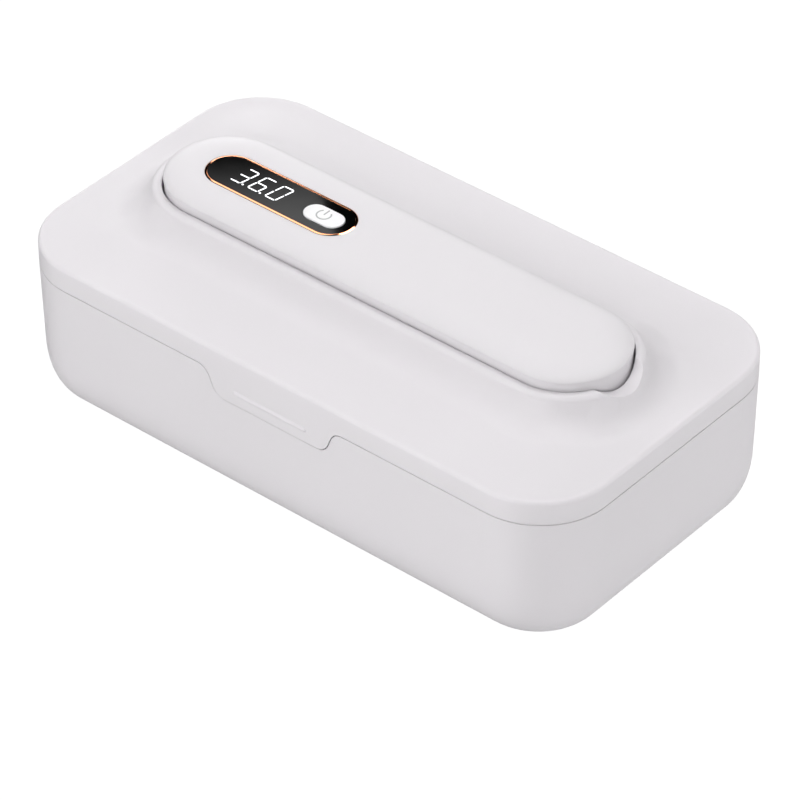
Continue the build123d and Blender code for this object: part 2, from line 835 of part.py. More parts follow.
# ---------------------------------------------------------------- power_button
switch_top = board_top + switch_height + switch_plunger_height
stem_bottom = switch_top + button_travel + screw_gap
flange_top = window_bottom - fit_gap
with BuildPart() as power_button:
    with BuildSketch(level(flange_top)):
        with Locations((button_x, 0)):
            SlotOverall(button_length, button_width)
    extrude(amount=window_top + button_proud - flange_top)
    fillet(power_button.edges().group_by(Axis.Z)[-1], button_edge)
    with BuildSketch(level(flange_top)):
        with Locations((button_x, 0)):
            SlotOverall(button_length + 2 * button_flange, button_width + 2 * button_flange)
    extrude(amount=-button_flange_thickness)
    with BuildSketch(level(stem_bottom)):
        with Locations((button_x, 0)):
            Circle(button_stem_radius)
    extrude(amount=flange_top - stem_bottom)
save(power_button.part, "power_button")

# ---------------------------------------------------------------- button_switch
with BuildPart() as button_switch:
    with BuildSketch(level(board_top)):
        with Locations((button_x, 0)):
            Rectangle(switch_size, switch_size)
    extrude(amount=switch_height)
    with BuildSketch(level(board_top + switch_height)):
        with Locations((button_x, 0)):
            Circle(switch_plunger_radius)
    extrude(amount=switch_plunger_height)
save(button_switch.part, "button_switch")

# ---------------------------------------------------------------- main_board
with BuildPart() as main_board:
    with BuildSketch(level(board_bottom)):
        SlotCenterToCenter(2 * wand_span, 2 * (wand_inner_radius - board_end_gap))
        with Locations((board_x, 0)):
            Rectangle(board_length, board_width, mode=Mode.INTERSECT)
    extrude(amount=board_thickness)
save(main_board.part, "main_board")

# ---------------------------------------------------------------- board_chips
with BuildPart() as board_chips:
    with BuildSketch(level(board_bottom)):
        with Locations((board_x, 0)):
            with GridLocations(chip_spacing, 0, chip_count, 1):
                Rectangle(chip_size, chip_size)
    extrude(amount=-chip_height)
save(board_chips.part, "board_chips")

# ---------------------------------------------------------------- usb_socket
with BuildPart() as usb_socket:
    with BuildSketch(section(wand_step - wand_end)):
        with Locations((0, board_bottom - socket_height / 2)):
            SlotOverall(socket_width, socket_height)
            offset(amount=-socket_wall, mode=Mode.SUBTRACT)
    extrude(amount=socket_length)
    with BuildSketch(section(wand_step - wand_end + socket_length)):
        with Locations((0, board_bottom - socket_height / 2)):
            SlotOverall(socket_width, socket_height)
    extrude(amount=-socket_wall)
    with BuildSketch(section(wand_step - wand_end + socket_length)):
        with Locations((0, board_bottom - socket_height / 2)):
            Rectangle(socket_tongue_width, socket_tongue_height)
    extrude(amount=-socket_tongue_length)
save(usb_socket.part, "usb_socket")

# ---------------------------------------------------------------- battery
with BuildPart() as battery:
    with BuildSketch(level(battery_bottom)):
        with Locations((battery_x, 0)):
            Rectangle(battery_length, battery_width)
    extrude(amount=battery_height)
    fillet(battery.edges().filter_by(Axis.X), battery_corner)
save(battery.part, "battery")

# ---------------------------------------------------------------- lamp_window
with BuildPart() as lamp_window:
    with BuildSketch(level(wand_bottom + lamp_window_sink)):
        SlotOverall(lamp_window_length, lamp_window_width)
    extrude(amount=lamp_window_thickness)
save(lamp_window.part, "lamp_window")

# ---------------------------------------------------------------- reflector
with BuildPart() as reflector:
    with BuildSketch(level(wand_floor)):
        Rectangle(reflector_length, reflector_width)
    extrude(amount=reflector_height)
    with BuildSketch(level(wand_floor)):
        Rectangle(reflector_length - 2 * reflector_wall, reflector_width - 2 * reflector_wall)
    extrude(amount=reflector_height, taper=reflector_taper, mode=Mode.SUBTRACT)
save(reflector.part, "reflector")

# ---------------------------------------------------------------- led_board
with BuildPart() as led_board:
    with BuildSketch(level(led_board_bottom)):
        Rectangle(reflector_length, reflector_width)
    extrude(amount=led_board_thickness)
save(led_board.part, "led_board")

# ---------------------------------------------------------------- uv_leds
with BuildPart() as uv_leds:
    with BuildSketch(level(led_board_bottom)):
        with GridLocations(led_spacing, 0, led_count, 1):
            Rectangle(led_size, led_size)
    extrude(amount=-led_height)
save(uv_leds.part, "uv_leds")

# ---------------------------------------------------------------- wand_screws
wand_screw = screw(wand_screw_head_radius, wand_screw_head_height, wand_screw_radius, wand_screw_length)
with BuildPart(level(wand_bottom)) as wand_screws:
    with Locations(*screw_places):
        add(wand_screw)
save(wand_screws.part, "wand_screws")
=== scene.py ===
"""Looks of the UV sanitizer box.

Surfaces, display figures, power sign, ring round the display, grip ridge, ultraviolet emitters,
floor and surround, lights and camera.
"""
import math

import bmesh
import bpy
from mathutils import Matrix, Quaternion, Vector


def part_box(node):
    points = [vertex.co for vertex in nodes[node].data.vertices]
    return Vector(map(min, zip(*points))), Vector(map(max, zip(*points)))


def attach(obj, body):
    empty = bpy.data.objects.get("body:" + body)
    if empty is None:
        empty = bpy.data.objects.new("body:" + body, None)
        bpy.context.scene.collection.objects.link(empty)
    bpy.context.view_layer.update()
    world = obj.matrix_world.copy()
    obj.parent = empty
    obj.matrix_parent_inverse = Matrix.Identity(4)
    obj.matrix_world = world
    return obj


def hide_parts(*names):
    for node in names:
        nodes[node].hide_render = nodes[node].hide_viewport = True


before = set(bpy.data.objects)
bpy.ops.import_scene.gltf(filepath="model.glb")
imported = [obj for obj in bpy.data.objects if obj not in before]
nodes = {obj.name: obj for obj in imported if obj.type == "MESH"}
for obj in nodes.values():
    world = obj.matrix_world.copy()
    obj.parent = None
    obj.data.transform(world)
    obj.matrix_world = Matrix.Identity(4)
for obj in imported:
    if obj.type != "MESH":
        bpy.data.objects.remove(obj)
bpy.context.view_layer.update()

MM = 0.001
MICRON = 0.000001
scene = bpy.context.scene
scene.view_settings.view_transform = "Standard"


# ---------------------------------------------------------------- surfaces
NOISE_LOW, NOISE_HIGH = 0.3, 0.7  # most values of a noise texture lie between these
MIX_SOCKETS = {"RGBA": (0, 6, 7, 2), "VECTOR": (0, 4, 5, 1)}  # factor, below and above in, result out


class Surface:
    """A Principled material whose colour, roughness and relief come from textures in object space."""

    def __init__(self, name, **sockets):
        self.material = bpy.data.materials.new(name)
        self.material.use_nodes = True
        self.tree = self.material.node_tree
        self.shader = self.tree.nodes["Principled BSDF"]
        for socket, value in sockets.items():
            self.shader.inputs[socket.replace("_", " ")].default_value = value
        self.place = self.add("ShaderNodeTexCoord").outputs["Object"]
        self.normal = None

    def add(self, kind, **inputs):
        node = self.tree.nodes.new(kind)
        for socket, value in inputs.items():
            self.plug(value, node.inputs[socket.replace("_", " ")])
        return node

    def plug(self, value, socket):
        if isinstance(value, bpy.types.NodeSocket):
            self.tree.links.new(value, socket)
        else:
            socket.default_value = value

    def stretch(self, scale):
        """Object space with its own scale along each axis, for brushing and flat boards."""
        return self.add("ShaderNodeMapping", Vector=self.place, Scale=scale).outputs["Vector"]

    def noise(self, scale, detail=3.0, roughness=0.5, distortion=0.0, vector=None):
        node = self.add("ShaderNodeTexNoise", Vector=vector or self.place, Scale=scale, Detail=detail)
        node.inputs["Roughness"].default_value = roughness
        node.inputs["Distortion"].default_value = distortion
        return node.outputs["Fac"]

    def cells(self, scale, vector, feature="F1"):
        node = self.add("ShaderNodeTexVoronoi", Vector=vector, Scale=scale)
        node.feature = feature
        return node.outputs["Distance"]

    def span(self, source, low, high, start=NOISE_LOW, end=NOISE_HIGH):
        """Maps a texture's values from start..end to low..high."""
        node = self.add("ShaderNodeMapRange", Value=source)
        for socket, value in (("From Min", start), ("From Max", end), ("To Min", low), ("To Max", high)):
            node.inputs[socket].default_value = value
        return node.outputs["Result"]

    def ramp(self, source, first, last, start=NOISE_LOW, end=NOISE_HIGH):
        """Maps a texture's values from start..end to the colours from first to last."""
        node = self.add("ShaderNodeValToRGB", Fac=source)
        for element, place, colour in zip(node.color_ramp.elements, (start, end), (first, last)):
            element.position = place
            element.color = (*colour, 1)
        return node.outputs["Color"]

    def mix(self, kind, factor, below, above):
        """One colour or vector over another where the factor is high."""
        node = self.add("ShaderNodeMix")
        node.data_type = kind
        factor_in, below_in, above_in, result = MIX_SOCKETS[kind]
        for index, value in ((factor_in, factor), (below_in, below), (above_in, above)):
            self.plug(value, node.inputs[index])
        return node.outputs[result]

    def calc(self, operation, *values):
        node = self.add("ShaderNodeMath")
        node.operation = operation
        for socket, value in zip(node.inputs, values):
            self.plug(value, socket)
        return node.outputs[0]

    def colour(self, source):
        self.plug(source, self.shader.inputs["Base Color"])

    def glow(self, source):
        self.plug(source, self.shader.inputs["Emission Color"])

    def rough(self, source, low, high):
        self.plug(self.span(source, low, high), self.shader.inputs["Roughness"])

    def bend(self, normal):
        self.normal = normal
        self.plug(normal, self.shader.inputs["Normal"])

    def soft_edges(self, radius, samples=4):
        """Rounds the moulded edges in the shading, as a real tool leaves them."""
        node = self.add("ShaderNodeBevel", Radius=radius)
        node.samples = samples
        self.bend(node.outputs["Normal"])

    def soft_band(self, radius, centre, half_run, near, far, fade, samples=8):
        """Blends in a wider rounding where the distance round a run along x lies between near and far."""
        along, aside, _ = self.add("ShaderNodeSeparateXYZ", Vector=self.place).outputs
        off_centre = self.calc("ABSOLUTE", self.calc("SUBTRACT", along, centre.x))
        beyond = self.calc("MAXIMUM", self.calc("SUBTRACT", off_centre, half_run), 0.0)
        aside = self.calc("SUBTRACT", aside, centre.y)
        squares = self.calc("ADD", self.calc("MULTIPLY", beyond, beyond), self.calc("MULTIPLY", aside, aside))
        distance = self.calc("SQRT", squares)
        past_near = self.span(distance, 0.0, 1.0, near, near + fade)
        before_far = self.span(distance, 1.0, 0.0, far - fade, far)
        wide = self.add("ShaderNodeBevel", Radius=radius)
        wide.samples = samples
        band = self.calc("MULTIPLY", past_near, before_far)
        unit = self.add("ShaderNodeVectorMath")
        unit.operation = "NORMALIZE"
        self.plug(self.mix("VECTOR", band, self.normal, wide.outputs["Normal"]), unit.inputs[0])
        self.normal = unit.outputs["Vector"]

    def relief(self, height, depth):
        node = self.add("ShaderNodeBump", Height=height, Distance=depth, Strength=1.0)
        if self.normal is not None:
            self.plug(self.normal, node.inputs["Normal"])
        self.bend(node.outputs["Normal"])


def shade(colour, share):
    return [c * share for c in colour]


PATCH_SCALE = 14  # patches of slightly uneven colour
SHEEN_SCALE = 90  # patches of slightly uneven gloss
WAVE_SCALE = 38  # the slow waviness of a moulded wall


def moulded(name, colour, sheen, grain, grain_depth, wave_depth, edge, tint, band=None, **sockets):
    """Injection-moulded plastic: a fine tool texture, a slow waviness and slightly uneven gloss."""
    skin = Surface(name, Specular_IOR_Level=0.1, **sockets)
    if colour:
        skin.colour(skin.ramp(skin.noise(PATCH_SCALE, 2), shade(colour, tint), colour))
    skin.rough(skin.noise(SHEEN_SCALE, 4, 0.6), *sheen)
    if edge:
        skin.soft_edges(edge)
    if band:
        skin.soft_band(**band)
    skin.relief(skin.noise(WAVE_SCALE, 2), wave_depth)
    skin.relief(skin.noise(grain, 2, 0.6), grain_depth)
    return skin


def metal(name, colour, sheen, brush, depth, scale, tint):
    """Metal with marks drawn out along its short texture axis."""
    skin = Surface(name, Metallic=1.0)
    marks = skin.noise(scale, 4, 0.65, vector=skin.stretch(brush))
    skin.colour(skin.ramp(skin.noise(160, 3), shade(colour, tint), colour))
    skin.rough(marks, *sheen)
    skin.relief(marks, depth)
    return skin


def solder_mask(name, mask, track, hole, sheen):
    """A circuit board: solder mask with tracks under it and small plated holes."""
    skin = Surface(name, IOR=1.5)
    flat = skin.stretch((1, 1, 0))
    grid = skin.add("ShaderNodeTexBrick", Vector=flat, Scale=260)
    grid.inputs["Mortar Size"].default_value = 0.03
    lines = skin.calc("LESS_THAN", skin.cells(210, skin.stretch((1, 1.6, 0)), "DISTANCE_TO_EDGE"), 0.045)
    tracks = skin.calc("MULTIPLY", skin.calc("MAXIMUM", grid.outputs["Fac"], lines), 0.8)
    holes = skin.calc("LESS_THAN", skin.cells(330, flat), 0.09)
    skin.colour(skin.mix("RGBA", holes, skin.mix("RGBA", tracks, (*mask, 1), (*track, 1)), (*hole, 1)))
    skin.rough(skin.noise(300, 3), *sheen)
    skin.relief(tracks, 20 * MICRON)
    skin.relief(skin.noise(2600, 2), 4 * MICRON)
    return skin


surfaces = {}

# The light goes a little way into the white plastic.
MILKY = {"Subsurface_Weight": 0.3, "Subsurface_Scale": 3 * MM, "Subsurface_Radius": (1.0, 0.95, 1.0)}
# A wide band round the wand, where the collar's foot runs out into the lid's shelf.
wand_low, wand_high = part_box("wand_body")
wand_radius = (wand_high.y - wand_low.y) / 2
FOOT_BAND = {
    "radius": 4 * MM,
    "centre": (wand_low + wand_high) / 2,
    "half_run": (wand_high.x - wand_low.x) / 2 - wand_radius,
    "near": wand_radius + 6 * MM,
    "far": wand_radius + 19 * MM,
    "fade": 3 * MM,
}
EXTRAS = {"shell_white": {"band": FOOT_BAND, **MILKY}, "wand_white": MILKY}
# name, colour, roughness, grain's scale, grain's and waves' depth in microns, edge in mm, tint
for name, colour, sheen, grain, grain_depth, wave_depth, edge, tint in (
    ("shell_white", (0.763, 0.739, 0.764), (0.36, 0.48), 2600, 5, 20, 0.3, 0.985),
    ("wand_white", (0.768, 0.744, 0.769), (0.34, 0.44), 3000, 4, 20, 0.25, 0.985),
    # painted highlight: the grip ridge is the lid's white made a little lighter, so that it reads as a light
    # line on the tab
    ("grip_white_highlit", (0.768, 0.744, 0.769), (0.36, 0.48), 2600, 5, 1, 0, 0.985),
    ("inner_white", (0.72, 0.71, 0.72), (0.5, 0.62), 1500, 12, 30, 0.4, 0.97),
    ("button_white", (0.93, 0.925, 0.935), (0.3, 0.38), 3200, 4, 10, 0.2, 0.985),
    ("module_grey", (0.085, 0.085, 0.093), (0.5, 0.66), 1600, 10, 20, 0.2, 0.85),
    ("component_black", (0.022, 0.022, 0.023), (0.42, 0.6), 2200, 12, 10, 0.1, 0.7),
    ("foot_rubber", None, (0.75, 0.92), 900, 40, 30, 0.2, None),
    ("led_ceramic", (0.8, 0.75, 0.58), (0.4, 0.58), 3000, 8, 6, 0.1, 0.9),
):
    surfaces[name] = moulded(
        name, colour, sheen, grain, grain_depth * MICRON, wave_depth * MICRON, edge * MM, tint,
        **EXTRAS.get(name, {}),
    )

# name, colour, roughness, stretch of the brush marks, their depth in microns, their scale, tint
for name, colour, sheen, brush, depth, scale, tint in (
    ("liner_silver", (0.74, 0.74, 0.76), (0.2, 0.32), (1, 24, 24), 3, 60, 0.96),
    ("screw_steel", (0.62, 0.62, 0.63), (0.24, 0.42), (8, 8, 1), 10, 220, 0.85),
    ("pin_steel", (0.56, 0.56, 0.57), (0.22, 0.4), (30, 1, 1), 8, 80, 0.88),
    ("socket_steel", (0.7, 0.69, 0.68), (0.2, 0.36), (1, 14, 14), 8, 120, 0.85),
    ("reflector_mirror", (0.9, 0.9, 0.91), (0.05, 0.14), (1, 30, 30), 6, 30, 0.97),
    ("rose_gold", (0.88, 0.38, 0.2), (0.05, 0.09), (1, 1, 1), 0.4, 300, 0.95),
    ("chip_gold", (0.78, 0.58, 0.28), (0.2, 0.35), (1, 1, 1), 4, 900, 0.85),
):
    surfaces[name] = metal(name, colour, sheen, brush, depth * MICRON, scale, tint)

# name, solder mask, tracks, plated holes, roughness
for name, mask, track, hole, sheen in (
    ("board_green", (0.015, 0.12, 0.045), (0.05, 0.25, 0.09), (0.75, 0.6, 0.3), (0.24, 0.36)),
    ("led_board_white", (0.8, 0.8, 0.76), (0.7, 0.7, 0.64), (0.8, 0.7, 0.45), (0.3, 0.45)),
):
    surfaces[name] = solder_mask(name, mask, track, hole, sheen)

# The rubber takes its colour from the dust on it.
rubber = surfaces["foot_rubber"]
dust = rubber.noise(420, 4, 0.7)
rubber.colour(rubber.ramp(dust, (0.045, 0.045, 0.048), (0.16, 0.155, 0.15), 0.5, 0.75))

foil = surfaces["cell_foil"] = Surface("cell_foil", Metallic=1.0)
creases_and_shade = foil.noise(210, 4, 0.6, 0.8)
# Painted shade: the foil's colour is darker in the dips of the crease relief, as if shade lay in the creases.
foil.colour(foil.ramp(creases_and_shade, (0.5, 0.51, 0.55), (0.66, 0.67, 0.71)))
foil.rough(creases_and_shade, 0.24, 0.42)
foil.relief(creases_and_shade, 150 * MICRON)
foil.relief(foil.noise(1900, 2), 6 * MICRON)

window = surfaces["display_black"] = Surface("display_black", IOR=1.52)
smudge = window.noise(120, 4, 0.65, 0.6)
window.colour(window.ramp(smudge, (0.0035, 0.0035, 0.0038), (0.0055, 0.0055, 0.006)))
window.rough(smudge, 0.02, 0.05)
window.relief(window.noise(50, 2), 2 * MICRON)

quartz = surfaces["quartz_clear"] = Surface("quartz_clear", IOR=1.46, Transmission_Weight=1.0)
haze = quartz.noise(160, 3, 0.6)
quartz.colour(quartz.ramp(haze, (0.93, 0.95, 0.99), (0.97, 0.98, 1.0)))
quartz.rough(haze, 0.02, 0.07)
quartz.relief(quartz.noise(60, 2), 3 * MICRON)

lit = surfaces["figure_light"] = Surface("figure_light", Emission_Strength=1.1)
unevenness = lit.noise(900, 2)
lit.colour(lit.ramp(unevenness, (0.86, 0.88, 0.9), (0.95, 0.96, 0.98)))
lit.glow(lit.ramp(unevenness, (0.9, 0.93, 0.97), (1.0, 1.0, 1.0)))
lit.rough(unevenness, 0.3, 0.4)

sign = surfaces["sign_grey"] = Surface("sign_grey")
ink = sign.noise(1400, 3)
sign.colour(sign.ramp(ink, (0.42, 0.42, 0.425), (0.48, 0.48, 0.485)))
sign.rough(ink, 0.45, 0.6)

finish = {
    "base_shell": "shell_white",
    "base_liner": "liner_silver",
    "rubber_feet": "foot_rubber",
    "base_screws": "screw_steel",
    "hinge_pins": "pin_steel",
    "lid_shell": "shell_white",
    "lid_inner_cover": "inner_white",
    "lid_screws": "screw_steel",
    "wand_body": "wand_white",
    "wand_cover": "wand_white",
    "display_ring": "rose_gold",
    "display_window": "display_black",
    "display_module": "module_grey",
    "button_switch": "component_black",
    "main_board": "board_green",
    "board_chips": "component_black",
    "usb_socket": "socket_steel",
    "battery": "cell_foil",
    "lamp_window": "quartz_clear",
    "reflector": "reflector_mirror",
    "led_board": "led_board_white",
    "uv_leds": "led_ceramic",
    "wand_screws": "screw_steel",
    "power_button": "button_white",
}
for name, node in nodes.items():
    if not node.material_slots:
        node.data.materials.append(None)
    for place in node.material_slots:
        place.link = "OBJECT"
        place.material = surfaces[finish[name]].material


# ---------------------------------------------------------------- making of pieces
def piece(name, mesh_maker, skins, body, sharp=25):
    """A piece made by code in its place, in metres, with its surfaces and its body."""
    mesh = bpy.data.meshes.new(name)
    shape = bmesh.new()
    mesh_maker(shape)
    bmesh.ops.recalc_face_normals(shape, faces=shape.faces)
    for face in shape.faces:
        face.smooth = True
    shape.to_mesh(mesh)
    shape.free()
    mesh.set_sharp_from_angle(angle=math.radians(sharp))
    thing = bpy.data.objects.new(name, mesh)
    scene.collection.objects.link(thing)
    for skin in skins:
        mesh.materials.append(surfaces[skin].material)
    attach(thing, body)
    return thing


def bridge(shape, a, b, material=0):
    """The faces between two rings of points."""
    for i in range(len(a)):
        j = (i + 1) % len(a)
        shape.faces.new((a[i], a[j], b[j], b[i])).material_index = material


def raised(shape, outline, low, high, edge):
    """A flat form with a chamfered top edge, from its outline seen from above."""
    centre = sum(outline, Vector((0, 0))) / len(outline)
    rings = []
    for z, inset in ((low, 0), (high - edge, 0), (high, edge)):
        ring = [p + (centre - p).normalized() * inset for p in outline]
        rings.append([shape.verts.new((*p, z)) for p in ring])
    for a, b in zip(rings, rings[1:]):
        bridge(shape, a, b)
    shape.faces.new(rings[0][::-1])
    shape.faces.new(rings[-1])


def way(turn):
    """The direction at a turn from +X, seen from above."""
    return Vector((math.cos(turn), math.sin(turn)))


# ---------------------------------------------------------------- display figures
window_low, window_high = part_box("display_window")
middle_y = (window_low.y + window_high.y) / 2
FIGURE_HEIGHT = 7.9 * MM
FIGURE_WIDTH = 4.15 * MM
FIGURE_SLANT = 1.5 / 7.9
FIGURE_PITCH = 7.35 * MM
FIGURE_INSET = 10.35 * MM  # from the window's left end to the first figure's foot
FIGURE_DROP = 3.5 * MM  # from the window's middle line down to the figures' foot
FIGURE_STROKE = 0.5 * MM
FIGURE_BREAK = 0.15 * MM
FIGURE_SUNK = 0.02 * MM
FIGURE_PROUD = 0.04 * MM
POINT_RADIUS = 0.38 * MM
POINT_STEPS = 20
POINT_SHIFT = Vector((1.1 * MM, 0.05 * MM))
PRINT_EDGE = 0.02 * MM
figure_start = Vector((window_low.x + FIGURE_INSET, middle_y - FIGURE_DROP))
figure_levels = (window_high.z - FIGURE_SUNK, window_high.z + FIGURE_PROUD)
SEGMENTS = {
    "top": ((0, 1), (1, 1)),
    "middle": ((0, 0.5), (1, 0.5)),
    "bottom": ((0, 0), (1, 0)),
    "upper_left": ((0, 0.5), (0, 1)),
    "upper_right": ((1, 0.5), (1, 1)),
    "lower_left": ((0, 0), (0, 0.5)),
    "lower_right": ((1, 0), (1, 0.5)),
}
FIGURES = {
    3: ("top", "upper_right", "middle", "lower_right", "bottom"),
    6: ("top", "upper_left", "middle", "lower_left", "lower_right", "bottom"),
    0: ("top", "upper_left", "upper_right", "lower_left", "lower_right", "bottom"),
}
READING = (3, 6, 0)


def on_display(index, u, v):
    """A point of a figure, with u across it and v up it, from above."""
    x = figure_start.x + index * FIGURE_PITCH + u * FIGURE_WIDTH + v * FIGURE_HEIGHT * FIGURE_SLANT
    return Vector((x, figure_start.y + v * FIGURE_HEIGHT))


def bar(shape, start, end):
    """A segment with pointed ends."""
    along = (end - start).normalized()
    across = Vector((-along.y, along.x)) * FIGURE_STROKE / 2
    start = start + along * FIGURE_BREAK
    end = end - along * FIGURE_BREAK
    near, far = start + along * FIGURE_STROKE / 2, end - along * FIGURE_STROKE / 2
    outline = (start, near - across, far - across, end, far + across, near + across)
    raised(shape, outline, *figure_levels, PRINT_EDGE)


def figures(shape):
    """The three figures of the reading, with a point after each of the first two."""
    for index, figure in enumerate(READING):
        for segment in FIGURES[figure]:
            bar(shape, *(on_display(index, *place) for place in SEGMENTS[segment]))
    for index in range(len(READING) - 1):
        point = on_display(index, 1, 0) + POINT_SHIFT
        outline = [point + way(math.tau * i / POINT_STEPS) * POINT_RADIUS for i in range(POINT_STEPS)]
        raised(shape, outline, *figure_levels, PRINT_EDGE)


piece("display_figures", figures, ["figure_light"], "wand")


# ---------------------------------------------------------------- power sign
SIGN_RADIUS = 2.4 * MM
SIGN_STROKE = 0.52 * MM
SIGN_LINE = 1.2 * SIGN_RADIUS
SIGN_GAP = math.radians(42)
SIGN_SHIFT = Vector((-0.3 * MM, 0.25 * MM))
SIGN_STEPS = 40
SIGN_THICKNESS = 0.02 * MM
SIGN_EDGE = 0.01 * MM
button_low, button_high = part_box("power_button")


def power_sign(shape):
    """An open ring with a stroke through its gap, printed on the button."""
    middle = Vector(((button_low.x + button_high.x) / 2, middle_y)) + SIGN_SHIFT
    base, top = button_high.z - SIGN_THICKNESS, button_high.z + SIGN_THICKNESS
    sides = (SIGN_RADIUS - SIGN_STROKE / 2, SIGN_RADIUS + SIGN_STROKE / 2)
    rings = []
    for i in range(SIGN_STEPS + 1):
        outward = way(math.pi / 2 + SIGN_GAP + (2 * math.pi - 2 * SIGN_GAP) * i / SIGN_STEPS)
        inner, outer = (middle + outward * side for side in sides)
        ring = ((inner, base), (inner, top), (outer, top), (outer, base))
        rings.append([shape.verts.new((*p, z)) for p, z in ring])
    for a, b in zip(rings, rings[1:]):
        bridge(shape, a, b)
    shape.faces.new(rings[0])
    shape.faces.new(rings[-1][::-1])
    half, end = Vector((SIGN_STROKE / 2, 0)), middle + Vector((0, SIGN_LINE))
    raised(shape, (middle - half, middle + half, end + half, end - half), base, top, SIGN_EDGE)


piece("power_sign", power_sign, ["sign_grey"], "button")


# ---------------------------------------------------------------- ring round the display
ring_low, ring_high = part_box("display_ring")
TRIM_STEPS = 48
TRIM_PROFILE = (  # mm outwards from the ring's inner side, mm below its top
    (0, 0.03), (0.03, 0), (0.22, 0), (0.26, 0.01), (0.8, 0.18), (0.85, 0.21),
)


def trim(shape):
    """The ring round the display: a slot-shaped band with a polished crest and a gentle fall outside it."""
    centre_x = (ring_low.x + ring_high.x) / 2
    outer_side = (ring_high.y - ring_low.y) / 2
    half_run = ring_high.x - centre_x - outer_side
    inner_side = outer_side - TRIM_PROFILE[-1][0] * MM
    profile = [(inner_side + out * MM, ring_high.z - down * MM) for out, down in TRIM_PROFILE]
    profile = [(inner_side, ring_low.z), *profile, (outer_side, ring_low.z)]
    rings = []
    for end, first_turn in ((half_run, -math.pi / 2), (-half_run, math.pi / 2)):
        for i in range(TRIM_STEPS + 1):
            outward = way(first_turn + math.pi * i / TRIM_STEPS)
            ring = [(centre_x + end + outward.x * r, middle_y + outward.y * r, z) for r, z in profile]
            rings.append([shape.verts.new(p) for p in ring])
    for a, b in zip(rings, rings[1:] + rings[:1]):
        bridge(shape, a, b)


ring = piece("display_trim", trim, ["rose_gold"], "wand")
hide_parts("display_ring")


# ---------------------------------------------------------------- grip ridge on the lid's tab
lid_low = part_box("lid_shell")[0]
GRIP_PLAIN_PROUD = 0.35 * MM  # how far the solid's own grip line stands out of the tab
GRIP_ABOVE_TIP = 4.7 * MM
GRIP_HALF_RUN = 13.9 * MM
GRIP_HALF_HEIGHT = 1.05 * MM
GRIP_PROUD = 0.68 * MM
GRIP_SUNK = 0.1 * MM
GRIP_STEPS = 8
GRIP_END_TURNS = (88, 75, 60, 45, 30, 15, 0)


def tab_grip(shape):
    """The rounded ridge across the lid's tab, over the plain one of the solid."""
    face = lid_low.y + GRIP_PLAIN_PROUD
    middle_z = lid_low.z + GRIP_ABOVE_TIP
    turns = [math.radians(t) for t in GRIP_END_TURNS]
    stations = [(-GRIP_HALF_RUN - GRIP_HALF_HEIGHT * math.sin(t), math.cos(t)) for t in turns]
    stations += [(-x, share) for x, share in reversed(stations)]
    heights = [k / GRIP_STEPS for k in range(-GRIP_STEPS, GRIP_STEPS + 1)]
    crown = [(-GRIP_PROUD * math.cos(math.pi / 2 * h) ** 2, GRIP_HALF_HEIGHT * h) for h in heights]
    rings = []
    for x, share in stations:
        ring = [(GRIP_SUNK, -GRIP_HALF_HEIGHT * share)]
        ring += [(y * share, z * share) for y, z in crown]
        ring.append((GRIP_SUNK, GRIP_HALF_HEIGHT * share))
        rings.append([shape.verts.new((x, face + y, middle_z + z)) for y, z in ring])
    for a, b in zip(rings, rings[1:]):
        bridge(shape, a, b)
    shape.faces.new(rings[0])
    shape.faces.new(rings[-1][::-1])


piece("tab_grip", tab_grip, ["grip_white_highlit"], "lid", 70)


# ---------------------------------------------------------------- ultraviolet emitters
leds_low, leds_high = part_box("uv_leds")
LED_COUNT = 10
LED_FACE = 0.4 * MM  # from a dome's tip back to its package's face
LED_EDGE = 0.06 * MM
LED_WELL = 0.3 * MM
LED_WELL_INSET, LED_WELL_DRAFT = 0.35 * MM, 0.15 * MM
CHIP_HALF, CHIP_THICKNESS = 0.5 * MM, 0.12 * MM
DOME_INSET, DOME_SUNK = 0.55 * MM, 0.29 * MM
DOME_STEPS, DOME_LEVELS = 24, 6
CERAMIC, QUARTZ, CHIP = range(3)
SQUARE = ((-1, -1), (1, -1), (1, 1), (-1, 1))
led_side = leds_high.y - leds_low.y
led_pitch = (leds_high.x - leds_low.x - led_side) / (LED_COUNT - 1)


def square(shape, centre, half, z):
    return [shape.verts.new((centre.x + half * x, centre.y + half * y, z)) for x, y in SQUARE]


def emitters(shape):
    """Ceramic packages that look down, each with a well, a chip in it and a quartz dome over it."""
    half = led_side / 2
    face = leds_low.z + LED_FACE
    well = face + LED_WELL
    package = (
        (half, leds_high.z),
        (half, face + LED_EDGE),
        (half - LED_EDGE, face),
        (half - LED_WELL_INSET, face),
        (half - LED_WELL_INSET - LED_WELL_DRAFT, well),
    )
    radius, base = half - DOME_INSET, face + DOME_SUNK
    fall = base - leds_low.z
    for i in range(LED_COUNT):
        centre = Vector((leds_low.x + half + i * led_pitch, (leds_low.y + leds_high.y) / 2))
        levels = [square(shape, centre, side, z) for side, z in package]
        for a, b in zip(levels, levels[1:]):
            bridge(shape, a, b, CERAMIC)
        shape.faces.new(levels[0])
        shape.faces.new(levels[-1])
        chip_back = square(shape, centre, CHIP_HALF, well)
        chip_front = square(shape, centre, CHIP_HALF, well - CHIP_THICKNESS)
        bridge(shape, chip_back, chip_front, CHIP)
        shape.faces.new(chip_front).material_index = CHIP
        shape.faces.new(chip_back).material_index = CHIP
        dome = []
        for k in range(DOME_LEVELS):
            lift = math.pi / 2 * k / DOME_LEVELS
            reach, z = radius * math.cos(lift), base - fall * math.sin(lift)
            ring = [centre + way(math.tau * n / DOME_STEPS) * reach for n in range(DOME_STEPS)]
            dome.append([shape.verts.new((*p, z)) for p in ring])
        for a, b in zip(dome, dome[1:]):
            bridge(shape, a, b, QUARTZ)
        tip = shape.verts.new((*centre, leds_low.z))
        for n in range(DOME_STEPS):
            shape.faces.new((dome[-1][n], dome[-1][(n + 1) % DOME_STEPS], tip)).material_index = QUARTZ
        shape.faces.new(dome[0]).material_index = QUARTZ


